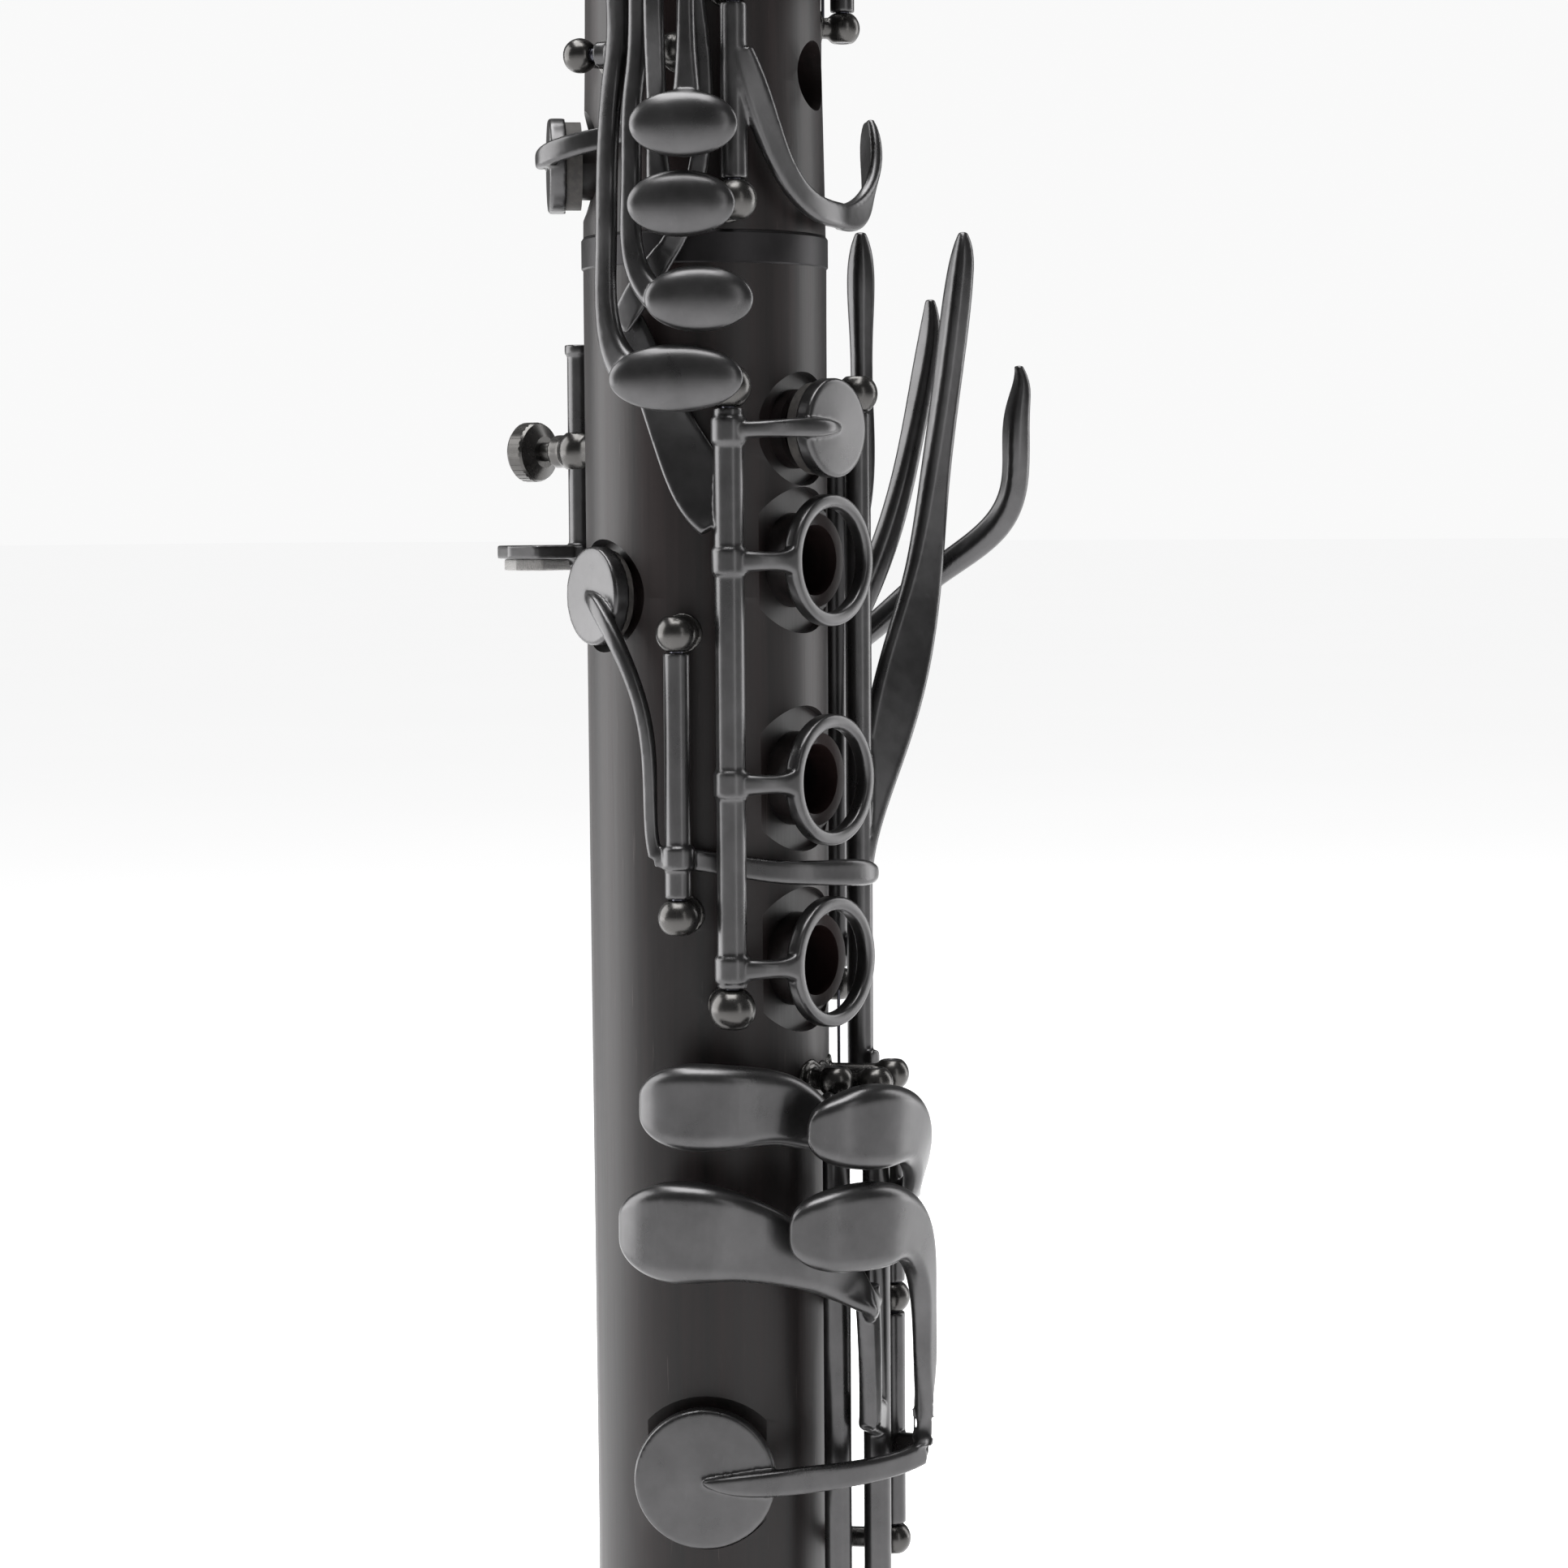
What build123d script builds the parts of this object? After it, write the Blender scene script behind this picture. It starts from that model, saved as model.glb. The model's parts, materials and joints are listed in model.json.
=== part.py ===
from build123d import *
import math
import os

# Soprano clarinet, Boehm system, B-flat, with twenty-one keys and levers and six finger rings.
#
# Millimetres.  The instrument stands on its bell: +Z runs up the air column, Z = 0 is the bell's rim and
# the air column's axis is X = Y = 0.  Places round the body are given as (angle, radius, height), where the
# angle is 0 at the front (-Y, the line of finger holes), grows towards the player's right hand (-X) and is
# 180 at the thumb side (+Y).

# ---------------------------------------------------------------- driving dimensions
BELL_H = 107.0  # bell, rim to lower joint
LOWER_H = 237.0  # lower joint, shoulder to shoulder
UPPER_H = 192.0  # upper joint, shoulder to shoulder
BARREL_H = 66.0
MOUTHPIECE_H = 73.0  # part that stands above the barrel
BORE_R = 7.4  # cylindrical air column
BELL_RIM_R = 39.5
THROAT_R = 11.8  # straight upper part of the bell's bore

Z_LOWER = BELL_H  # bottom shoulder of the lower joint
Z_UPPER = Z_LOWER + LOWER_H  # seam between the two joints
Z_BARREL = Z_UPPER + UPPER_H
Z_MOUTH = Z_BARREL + BARREL_H
Z_TIP = Z_MOUTH + MOUTHPIECE_H

TENON = {"bell": (13.2, 20.0), "middle": (11.6, 19.0), "barrel": (11.2, 17.0), "mouth": (10.9, 16.0)}
TENON_GAP = 0.04  # air between a tenon's cork and its socket
CORK_T = 0.9  # thickness of tenon cork
FIT = 0.02  # radial clearance of a hinge rod in its tube
ROD_R = 0.8  # steel hinge rods
END_GAP = 0.15  # end play of a hinge tube between its posts

BALL_FLAT = 0.4  # depth of the faces cut on a post's ball
SEAT_R, POST_DEPTH = 2.4, 2.0  # seat of a post in the wood
TABLE_Y = 8.2  # plane of the mouthpiece's table
LIGATURE_SCREW_R = 1.3

PAD_PROUD = 0.8  # how far a pad stands out of its cup
CUP_H = 2.3  # height of a pad cup
CUP_WALL = 0.45

RING_PAD_PROUD = 1.5  # pads of the ring keys, and of the two lowest keys
LOW_PAD_PROUD = 1.4
SEAT_GAP = 0.04  # air left between a closed pad and its rim
STEM_R = 1.3  # stem of a post
SPRING_R, SPRING_GAP, SPRING_L = 0.2, 0.3, 14.0
BUSH_R = 4.2  # outside of the thumb hole's bush
VENT_TOP = 15.0

UPPER_LINE = -12.0  # angle of the upper joint's finger holes
UPPER_RING_TOP, UPPER_CHIMNEY_TOP = 19.4, 16.2
THUMB_RING_TOP = 19.4

THUMB_REST_ANGLE = 180.0
THUMB_ROD_AT, THUMB_ROD_R = 20.3, 1.6
SLEEVE_Z, PLATE_Z, PLATE_T = 318.2, 304.6, 1.7
CLAMP_R = 1.2

RING_ID_R, RING_OD_R, RING_T = 6.3, 8.0, 2.0  # finger rings
RING_TOP = 19.9  # radius of the lower rings' finger surface
CHIMNEY_TOP = 16.7  # radius of the raised finger holes' rims
SPOT_R, SPOT_FLOOR = 8.9, 13.3  # flat sunk round each raised finger hole

os.makedirs("parts", exist_ok=True)


# ---------------------------------------------------------------- places and frames
def radial(angle):
    """Unit vector from the air column's axis out to an angle."""
    a = math.radians(angle)
    return Vector(-math.sin(a), -math.cos(a), 0)


def at(angle, radius, z):
    return radial(angle) * radius + Vector(0, 0, z)


def facing(angle, radius, z):
    """Plane whose normal points straight out of the body; its y axis is up."""
    a = math.radians(angle)
    return Plane(origin=at(angle, radius, z), x_dir=Vector(math.cos(a), -math.sin(a), 0), z_dir=radial(angle))


def fused(pieces):
    """One solid out of several that overlap."""
    whole = pieces[0]
    for piece in pieces[1:]:
        whole = whole + piece
    return whole


def write(name, shapes):
    shapes = shapes if isinstance(shapes, (list, tuple)) else [shapes]
    solids = [solid for shape in shapes for solid in shape.solids()]
    export_step(Compound(solids) if len(solids) > 1 else solids[0], f"parts/{name}.step")


# ---------------------------------------------------------------- plain shapes
def turned(points):
    """Body of revolution from (radius, height) points."""
    face = make_face(Polyline(*[(r, 0, z) for r, z in points], close=True))
    return revolve(face, axis=Axis.Z)


def upright(angle, radius, z0, z1, r):
    """Cylinder beside the body, parallel to the air column."""
    return Location(at(angle, radius, z0)) * Cylinder(r, z1 - z0, align=(Align.CENTER, Align.CENTER, Align.MIN))


def outward(angle, z, r0, r1, r):
    """Cylinder that points straight out of the body, from radius r0 to r1."""
    return facing(angle, r0, z).location * Cylinder(r, r1 - r0, align=(Align.CENTER, Align.CENTER, Align.MIN))


def between(p, q, r):
    """Cylinder from one point to another."""
    line = q - p
    return Plane(origin=p, z_dir=line).location * Cylinder(
        r, line.length, align=(Align.CENTER, Align.CENTER, Align.MIN)
    )


def limb(stations):
    """Forged arm through stations (angle, radius, z, half width, half thickness).

    The thickness points out of the body and the width lies square to it and to the arm.
    """
    points = [at(*station[:3]) for station in stations]
    sections = []
    for i, (angle, _, _, half_width, half_thick) in enumerate(stations):
        along = (points[min(i + 1, len(points) - 1)] - points[max(i - 1, 0)]).normalized()
        out = radial(angle)
        out = (out - along * out.dot(along)).normalized()
        plane = Plane(origin=points[i], x_dir=along.cross(out), z_dir=along)
        corner = 0.8 * min(half_width, half_thick)
        sections.append(plane * RectangleRounded(2 * half_width, 2 * half_thick, corner))
    return loft(sections)


def pebble(angle, radius, z, half_w, half_h, half_t):
    """Domed finger touch."""
    return facing(angle, radius, z).location * scale(Sphere(1), by=(half_w, half_h, half_t))


def pad_cup(angle, top, z, r):
    """Pad cup with a low cone on top; top is the radius of its highest point."""
    rim = top - CUP_H
    profile = make_face(
        Polyline(
            (0, 0, 1.2), (r - CUP_WALL, 0, 1.2), (r - CUP_WALL, 0, 0), (r, 0, 0), (r, 0, CUP_H - 0.45),
            (r - 0.25, 0, CUP_H - 0.2), (0, 0, CUP_H), close=True,
        )
    )
    return facing(angle, rim, z).location * revolve(profile, axis=Axis.Z)


def pad(angle, top, z, r, proud=PAD_PROUD):
    """Felt and skin pad that sits in pad_cup of the same numbers."""
    rim = top - CUP_H
    return outward(angle, z, rim - proud, rim + 1.2, r - CUP_WALL)


def finger_ring(angle, top, z):
    """Ring that surrounds a raised finger hole, finger surface uppermost."""
    flat = facing(angle, top - RING_T, z).location
    tall = (Align.CENTER, Align.CENTER, Align.MIN)
    ring = Cylinder(RING_OD_R, RING_T, align=tall) - Cylinder(RING_ID_R, RING_T, align=tall)
    ring = fillet(ring.edges().filter_by(GeomType.CIRCLE), 0.45)
    return flat * ring


def flat_ball(centre, r, axis):
    """Ball of a hinge post with the two faces that a tube runs against."""
    lying = Plane(origin=centre, x_dir=Vector(-centre.X, -centre.Y, 0), z_dir=axis).location
    return (lying * Sphere(r)) & (lying * Cylinder(2 * r, 2 * (r - BALL_FLAT)))


def bored(shape, p, q, r):
    return shape - between(p, q, r)


# ---------------------------------------------------------------- wooden bodies
LOWER_OUTSIDE = [
    (15.9, 107), (15.9, 113), (15.3, 117), (15.1, 135), (14.65, 165), (14.6, 185),
    (14.7, 215), (14.85, 260), (14.95, 300), (15.0, 340),
]
UPPER_OUTSIDE = [(14.95, 344), (14.6, 362), (14.2, 400), (13.9, 440), (14.0, 490), (14.6, 536)]


def outside(z):
    """Outer radius of whichever joint is at a height."""
    table = LOWER_OUTSIDE if z < Z_UPPER else UPPER_OUTSIDE
    for (r0, z0), (r1, z1) in zip(table, table[1:]):
        if z <= z1:
            return r0 + (r1 - r0) * max(0.0, z - z0) / (z1 - z0)
    return table[-1][0]


class Hole:
    """Tone hole: where it is, the flat sunk round it and the rim that stands in that flat."""

    def __init__(self, angle, z, hole_r, rim_r=0.0, rim_top=0.0, spot_r=0.0, floor=0.0):
        self.angle = angle
        self.z = z
        self.hole_r = hole_r
        self.rim_r = rim_r
        self.rim_top = rim_top
        self.spot_r = spot_r
        self.floor = floor


def with_holes(body, holes, post_places):
    """Sink the flats, raise the rims, then bore the tone holes and the post seats."""
    for hole in holes:
        if hole.spot_r:
            body = body - outward(hole.angle, hole.z, hole.floor, 25, hole.spot_r)
            body = body + outward(hole.angle, hole.z, hole.floor - 1.5, hole.rim_top, hole.rim_r)
    for hole in holes:
        body = body - outward(hole.angle, hole.z, BORE_R - 3.0, 25, hole.hole_r)
    for angle, _, z, _ in post_places:
        body = body - outward(angle, z, outside(z) - POST_DEPTH, 25, SEAT_R)
    return body


def bell():
    inside = [(36.6, 0), (33.0, 4), (27.6, 11), (22.6, 20), (17.6, 34), (14.2, 50), (THROAT_R, 66), (THROAT_R, 86.9)]
    outer = [
        (17.0, 102.9), (17.0, 92), (15.7, 85), (16.4, 68), (18.8, 50), (22.6, 34), (28.4, 20),
        (34.0, 11), (37.6, 5.2), (38.2, 4.5), (38.2, 0),
    ]
    socket_r = TENON["bell"][0] + TENON_GAP
    return turned(inside + [(socket_r, 86.9), (socket_r, 102.9)] + outer)


def bell_rings():
    rim = turned([(38.2, 0), (BELL_RIM_R - 0.5, 0), (BELL_RIM_R, 0.8), (BELL_RIM_R, 3.8), (38.6, 4.5), (38.2, 4.5)])
    socket_r = TENON["bell"][0] + TENON_GAP
    top = turned([(socket_r, 102.9), (17.3, 102.9), (17.3, 106.2), (17.0, 106.95), (socket_r, 106.95)])
    return [rim, top]


def tenon_points(name, shoulder, down):
    """Outline of a tenon with its cork groove, from the shoulder to the end, as (radius, height)."""
    r, length = TENON[name]
    step = -1 if down else 1
    return [
        (r - 0.15, shoulder), (r - 0.15, shoulder + step * 2.5), (r - CORK_T, shoulder + step * 2.5),
        (r - CORK_T, shoulder + step * (length - 4)), (r - 0.15, shoulder + step * (length - 4)),
        (r - 0.15, shoulder + step * (length - 0.3)),
    ]


def tenon_cork(name, shoulder, down):
    r, length = TENON[name]
    step = -1 if down else 1
    a = shoulder + step * 2.5
    b = shoulder + step * (length - 4)
    return turned([(r - CORK_T, a), (r, a), (r, b), (r - CORK_T, b)])


def lower_joint(holes, post_places):
    socket_r, socket_depth = TENON["middle"][0] + TENON_GAP, TENON["middle"][1]
    wide_end = Z_LOWER - TENON["bell"][1] + 0.3
    inner = [(BORE_R, Z_UPPER - socket_depth), (BORE_R, 205), (8.6, 150), (10.4, wide_end)]
    points = [(socket_r, Z_UPPER - 4), (socket_r, Z_UPPER - socket_depth)] + inner
    points += list(reversed(tenon_points("bell", Z_LOWER, True))) + LOWER_OUTSIDE
    return with_holes(turned(points), holes, post_places)


def lower_top_ring():
    socket_r = TENON["middle"][0] + TENON_GAP
    return turned([
        (socket_r, Z_UPPER - 4), (15.0, Z_UPPER - 4), (15.2, Z_UPPER - 3.8), (15.2, Z_UPPER - 0.4),
        (14.95, Z_UPPER - 0.05), (socket_r, Z_UPPER - 0.05),
    ])


def upper_joint(holes, post_places):
    low_end = Z_UPPER - TENON["middle"][1] + 0.3
    high_end = Z_BARREL + TENON["barrel"][1] - 0.3
    points = [(BORE_R, high_end), (BORE_R, low_end)]
    points += list(reversed(tenon_points("middle", Z_UPPER, True))) + UPPER_OUTSIDE
    points += tenon_points("barrel", Z_BARREL, False)
    return with_holes(turned(points), holes, post_places)


def barrel():
    low_r, low_deep = TENON["barrel"][0] + TENON_GAP, Z_BARREL + TENON["barrel"][1]
    high_r, high_deep = TENON["mouth"][0] + TENON_GAP, Z_MOUTH - TENON["mouth"][1]
    return turned([
        (low_r, Z_BARREL + 5), (low_r, low_deep), (BORE_R, low_deep), (BORE_R, high_deep), (high_r, high_deep),
        (high_r, Z_MOUTH - 5), (15.6, Z_MOUTH - 5), (15.9, Z_MOUTH - 12), (16.4, 575), (16.5, 565),
        (16.2, 552), (16.0, Z_BARREL + 5),
    ])


def barrel_rings():
    low_r = TENON["barrel"][0] + TENON_GAP
    high_r = TENON["mouth"][0] + TENON_GAP
    low = turned([
        (low_r, Z_BARREL + 0.05), (16.0, Z_BARREL + 0.05), (16.4, Z_BARREL + 0.5), (16.4, Z_BARREL + 4.4),
        (16.1, Z_BARREL + 5), (low_r, Z_BARREL + 5),
    ])
    high = turned([
        (high_r, Z_MOUTH - 5), (15.7, Z_MOUTH - 5), (16.0, Z_MOUTH - 4.5), (16.0, Z_MOUTH - 0.6),
        (15.6, Z_MOUTH - 0.05), (high_r, Z_MOUTH - 0.05),
    ])
    return [low, high]


def mouthpiece():
    """Beak with its window; the table and the reed face the thumb side (+Y)."""
    end = Z_MOUTH - TENON["mouth"][1] + 0.3
    points = [(BORE_R, Z_MOUTH + 22), (BORE_R, end)] + list(reversed(tenon_points("mouth", Z_MOUTH, True)))
    points += [(13.8, Z_MOUTH), (14.3, Z_MOUTH + 1), (14.1, Z_MOUTH + 8), (13.4, Z_TIP - 36), (12.6, Z_TIP)]
    points += [(0, Z_TIP), (0, Z_MOUTH + 34)]
    body = turned(points)
    table = Pos(0, TABLE_Y + 20, Z_TIP - 30) * Box(60, 40, 110)
    slope = make_face(Polyline(
        (0, -16, Z_TIP - 38), (0, -30, Z_TIP - 38), (0, -30, Z_TIP + 2), (0, TABLE_Y - 1.4, Z_TIP + 2),
        (0, TABLE_Y - 1.4, Z_TIP), close=True,
    ))
    beak = extrude(slope, amount=30, both=True)
    window = Pos(0, TABLE_Y - 4, Z_TIP - 20) * Box(11.5, 12, 34)
    return body - table - beak - window


def reed():
    outline = make_face(Polyline(
        (0, TABLE_Y + 0.05, Z_TIP - 68), (0, TABLE_Y + 2.9, Z_TIP - 68), (0, TABLE_Y + 3.2, Z_TIP - 33),
        (0, TABLE_Y + 0.35, Z_TIP - 0.4), (0, TABLE_Y + 0.05, Z_TIP - 0.4), close=True,
    ))
    return extrude(outline, amount=6.2, both=True)


def ligature():
    """Band round the mouthpiece and reed, split on the reed side, with two lugs for its screw."""
    low, high = Z_MOUTH + 12, Z_MOUTH + 34
    tall = (Align.CENTER, Align.CENTER, Align.MIN)
    band = Pos(0, 0, low) * (Cylinder(15.1, high - low, align=tall) - Cylinder(14.25, high - low, align=tall))
    lugs = [Pos(side * 4.6, 16.6, (low + high) / 2) * Box(2.2, 4.6, 8) for side in (-1, 1)]
    whole = fused([band - Pos(0, 15, (low + high) / 2) * Box(7.0, 6, 40)] + lugs)
    return bored(whole, Vector(-9, 17.3, (low + high) / 2), Vector(9, 17.3, (low + high) / 2), LIGATURE_SCREW_R + 0.05)


def ligature_screw():
    z = Z_MOUTH + 23
    shank = between(Vector(-7.5, 17.3, z), Vector(7.5, 17.3, z), LIGATURE_SCREW_R)
    head = between(Vector(-13.5, 17.3, z), Vector(-7.5, 17.3, z), 3.4)
    return shank + head


# ---------------------------------------------------------------- hinges
# Hinges parallel to the air column: angle, radius, lower ball, upper ball, tube radius, ball radius
HINGES = {
    "lower_rings": (44, 19.3, 250.8, 325.1, 1.8, 2.8),
    "lower_sliver": (63.5, 18.6, 261.8, 295.8, 1.6, 2.5),
    "f_c": (-4.2, 18.4, 146.0, 240.7, 1.7, 2.2),
    "e_b": (-15.5, 21.9, 115.0, 240.2, 1.7, 2.2),
    "f_sharp": (-29.4, 22.7, 181.8, 212.5, 1.55, 2.2),
    "a_flat": (-29.4, 22.7, 212.5, 240.5, 1.55, 2.2),
    "lever_e": (-55, 19.8, 236.0, 325.0, 1.65, 2.6),
    "lever_f": (-74, 19.8, 250.0, 325.0, 1.65, 2.4),
    "lever_f_sharp": (-93, 19.8, 256.0, 318.0, 1.65, 2.4),
    "lever_a_flat": (-112, 19.8, 262.0, 311.0, 1.65, 2.4),
    "c_sharp": (41, 19.0, 347.1, 372.5, 1.6, 2.7),
    "upper_rings": (44, 19.3, 378.8, 437.0, 1.7, 2.4),
    "upper_sliver": (-52, 17.8, 370.0, 394.0, 1.5, 2.2),
    "thumb_ring": (146, 18.6, 386.0, 436.0, 1.6, 2.3),
}

# Hinges square to the air column: angle, radius, height, first ball, last ball, tube radius, ball radius
CROSS_HINGES = {
    "side_low": (78, 17.8, 364.7, -7.6, 5.0, 1.5, 2.1),
    "side_high": (61.5, 18.4, 446.0, -7.0, 7.0, 1.5, 2.1),
    "throat": (-14, 17.4, 454.0, -7.6, 7.6, 1.5, 2.1),
    "register": (180, 17.6, 446.0, -5.0, 5.0, 1.5, 2.1),
}


def post_places(cross_hinges, hinges):
    """(angle, radius, z, ball radius) of every post, each once."""
    places = []
    for name in hinges:
        angle, radius, low, high, _, ball_r = HINGES[name]
        for z in (low, high):
            if (angle, radius, z, ball_r) not in places:
                places.append((angle, radius, z, ball_r))
    for name in cross_hinges:
        angle, radius, z, first, last, _, ball_r = CROSS_HINGES[name]
        for s in (first, last):
            place = level(angle, s, radius, z)
            places.append((angle_of(place), math.hypot(place.X, place.Y), z, ball_r))
    return places


def tangent(angle):
    """Unit vector round the body, towards smaller angles."""
    a = math.radians(angle)
    return Vector(math.cos(a), -math.sin(a), 0)


def level(angle, s, radius, z):
    """Point a distance s round from an angle, measured along the tangent there."""
    return radial(angle) * radius + tangent(angle) * s + Vector(0, 0, z)


def angle_of(point):
    return math.degrees(math.atan2(-point.X, -point.Y))


def post(centre, ball_r, axis):
    """Ball on a stem that is screwed into the wood; the hinge rod passes through the ball."""
    angle, radius = angle_of(centre), math.hypot(centre.X, centre.Y)
    skin = outside(centre.Z)
    seat = outward(angle, centre.Z, skin - POST_DEPTH, skin + 0.25, SEAT_R)
    stem = outward(angle, centre.Z, skin + 0.2, radius, STEM_R)
    return (seat + stem + flat_ball(centre, ball_r, axis)) - between(
        centre - axis * 5, centre + axis * 5, ROD_R
    )


def posts(hinges, cross_hinges):
    made = [post(at(a, r, z), ball_r, Vector(0, 0, 1)) for a, r, z, ball_r in post_places([], hinges)]
    for name in cross_hinges:
        angle, radius, z, first, last, _, ball_r = CROSS_HINGES[name]
        made += [post(level(angle, s, radius, z), ball_r, tangent(angle)) for s in (first, last)]
    return made


def hinge_rods(hinges, cross_hinges):
    """Steel rods, each long enough to fill its two balls."""
    made = []
    for name in hinges:
        angle, radius, low, high, _, ball_r = HINGES[name]
        if name == "a_flat":
            continue
        if name == "f_sharp":
            high = HINGES["a_flat"][3]
        made.append(upright(angle, radius, low - ball_r + 0.5, high + ball_r - 0.5, ROD_R))
    for name in cross_hinges:
        angle, radius, z, first, last, _, ball_r = CROSS_HINGES[name]
        reach = ball_r - 0.5
        made.append(between(level(angle, first - reach, radius, z), level(angle, last + reach, radius, z), ROD_R))
    return made


def springs(hinges):
    """Needle springs that lie between the wood and the hinge tubes, fixed in the posts' stems."""
    made = []
    for name in hinges:
        angle, radius, low, high, _, ball_r = HINGES[name]
        height = radius - ball_r - SPRING_GAP
        made.append(upright(angle, height, low + STEM_R, min(low + SPRING_L, high - 4), SPRING_R))
    return made


def tube(name):
    """Plain tube of a hinge before it is bored."""
    angle, radius, low, high, tube_r, ball_r = HINGES[name]
    reach = ball_r - BALL_FLAT + END_GAP
    return upright(angle, radius, low + reach, high - reach, tube_r)


def key(name, pieces):
    """Key on a hinge parallel to the air column, bored for its rod."""
    angle, radius, low, high, _, _ = HINGES[name]
    return bored(fused([tube(name)] + pieces), at(angle, radius, low), at(angle, radius, high), ROD_R + FIT)


def cross_key(name, s0, s1, pieces):
    """Key whose tube lies from s0 to s1 along a hinge square to the air column."""
    angle, radius, z, first, last, tube_r, _ = CROSS_HINGES[name]
    whole = fused([between(level(angle, s0, radius, z), level(angle, s1, radius, z), tube_r)] + pieces)
    return bored(whole, level(angle, first, radius, z), level(angle, last, radius, z), ROD_R + FIT)


def collar(name, z, half_h, extra):
    """Reinforcing band on a hinge tube."""
    angle, radius, _, _, tube_r, _ = HINGES[name]
    return upright(angle, radius, z - half_h, z + half_h, tube_r + extra)


# ---------------------------------------------------------------- keys of the lower joint
LOWER_RING_Z = (304.4, 277.8, 255.6)
UPPER_RING_Z = (412.0, 388.0)
THUMB_Z = 404.0


def ring_on_arm(name, angle, top, z):
    """Finger ring, its keeled arm and the collar on the tube."""
    hinge_angle, hinge_radius, *_ = HINGES[name]
    side = 1 if hinge_angle > angle else -1
    near = at(angle, top, z) + tangent(angle) * (-side * RING_OD_R)
    near_angle, near_radius = angle_of(near), math.hypot(near.X, near.Y)
    middle = (hinge_angle + near_angle) / 2
    arm = limb([
        (hinge_angle, hinge_radius + 0.3, z, 1.2, 1.1),
        (middle, (hinge_radius + near_radius) / 2 + 0.1, z, 1.15, 0.95),
        (near_angle + side * 1.5, near_radius - 0.95, z, 1.5, 0.95),
        (near_angle - side * 3.2, near_radius - 1.5, z, 3.3, 0.8),
    ])
    hollow = facing(angle, top - 4, z).location * Cylinder(
        RING_ID_R, 8, align=(Align.CENTER, Align.CENTER, Align.MIN)
    )
    return [finger_ring(angle, top, z) + (arm - hollow), collar(name, z, 1.5, 0.35)]


def lower_rings():
    pieces = []
    for z in LOWER_RING_Z:
        pieces += ring_on_arm("lower_rings", 0.6, RING_TOP, z)
    pieces += [
        pad_cup(0, 20.4, 320.3, 6.0),
        limb([(44, 19.8, 319.9, 1.3, 1.2), (22, 21.4, 320.2, 1.15, 0.9), (9, 21.3, 320.3, 1.0, 0.85),
              (0, 20.6, 320.3, 0.2, 0.2)]),
        collar("lower_rings", 319.9, 1.5, 0.35),
        limb([(46, 18.6, 309.0, 3.0, 1.1), (56, 17.2, 314.5, 3.6, 0.6), (68, 16.4, 321.5, 2.8, 0.55),
              (80, 16.2, 329.5, 2.2, 0.55), (86, 16.2, 334.5, 1.2, 0.45)]),
    ]
    return key("lower_rings", pieces)


def lower_sliver():
    return key("lower_sliver", [
        pad_cup(110, 17.0, 300.2, 6.0),
        limb([(112, 16.9, 300.2, 0.4, 0.3), (101, 17.9, 299.2, 1.0, 0.8), (87, 18.9, 294.5, 1.0, 0.9),
              (76.5, 19.3, 287.0, 0.9, 0.9), (73.5, 19.1, 278.0, 0.85, 0.8), (71.5, 18.9, 269.0, 0.9, 0.8)]),
        limb([(72, 18.9, 269.0, 1.2, 0.8), (64, 18.6, 269.0, 1.2, 0.9)]),
        collar("lower_sliver", 269, 1.3, 0.4),
        limb([(64, 17.9, 269.0, 1.3, 0.8), (54, 16.75, 268.4, 1.3, 0.55), (44, 16.5, 267.9, 1.3, 0.5),
              (30, 17.0, 267.2, 1.4, 0.6), (12, 18.9, 266.7, 1.5, 0.7), (-6, 20.6, 266.4, 1.65, 0.8),
              (-17, 21.2, 266.0, 1.3, 0.8), (-23, 21.1, 265.8, 0.4, 0.4)]),
    ])


def f_c_key():
    """Upper left of the four little-finger touches; its cup is far down the joint."""
    return key("f_c", [
        limb([(73.5, 21.7, 239.6, 0.9, 0.6), (71.5, 22.2, 239.6, 3.0, 1.4), (66, 22.8, 239.6, 4.5, 2.0),
              (58, 23.2, 239.6, 5.2, 2.4), (48, 23.1, 239.5, 5.1, 2.4), (38, 22.7, 239.4, 4.7, 2.2),
              (28, 22.1, 238.6, 4.2, 2.0), (14, 20.6, 236.4, 3.0, 1.7), (-3, 18.8, 234.2, 1.9, 1.3)]),
        pad_cup(35, 19.0, 157.0, 8.75),
        limb([(-4, 19.2, 158.0, 1.6, 1.2), (10, 21.0, 157.6, 1.7, 0.9), (22, 20.9, 157.3, 1.6, 0.9),
              (36, 19.2, 157.0, 0.4, 0.3)]),
    ])


def e_b_key():
    """Lower left touch."""
    return key("e_b", [
        limb([(79.5, 22.4, 224.8, 0.9, 0.6), (77.5, 23.0, 224.8, 3.3, 1.4), (72, 23.7, 224.8, 5.0, 2.0),
              (64, 24.2, 224.8, 6.0, 2.4), (54, 24.3, 224.6, 5.9, 2.4), (44, 23.7, 223.8, 5.2, 2.1),
              (33, 23.2, 222.2, 4.3, 1.8), (21, 22.9, 220.0, 3.4, 1.6), (7, 23.4, 216.8, 2.6, 1.4),
              (-4, 23.4, 213.0, 2.0, 1.2)]),
        limb([(-2.0, 23.25, 216.0, 1.7, 1.2), (-3.8, 23.2, 208.0, 1.6, 1.15), (-5, 22.9, 198.6, 1.5, 1.15)]),
        limb([(-4, 23.0, 200.0, 2.2, 1.2), (-14, 22.2, 198.5, 2.2, 1.2)]),
        pad_cup(20, 19.4, 126.0, 9.0),
        limb([(-15, 22.4, 128.0, 1.6, 1.2), (-2, 22.6, 127.4, 1.7, 1.0), (9, 21.4, 126.6, 1.6, 0.9),
              (21, 19.6, 126.0, 0.4, 0.3)]),
    ])


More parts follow.
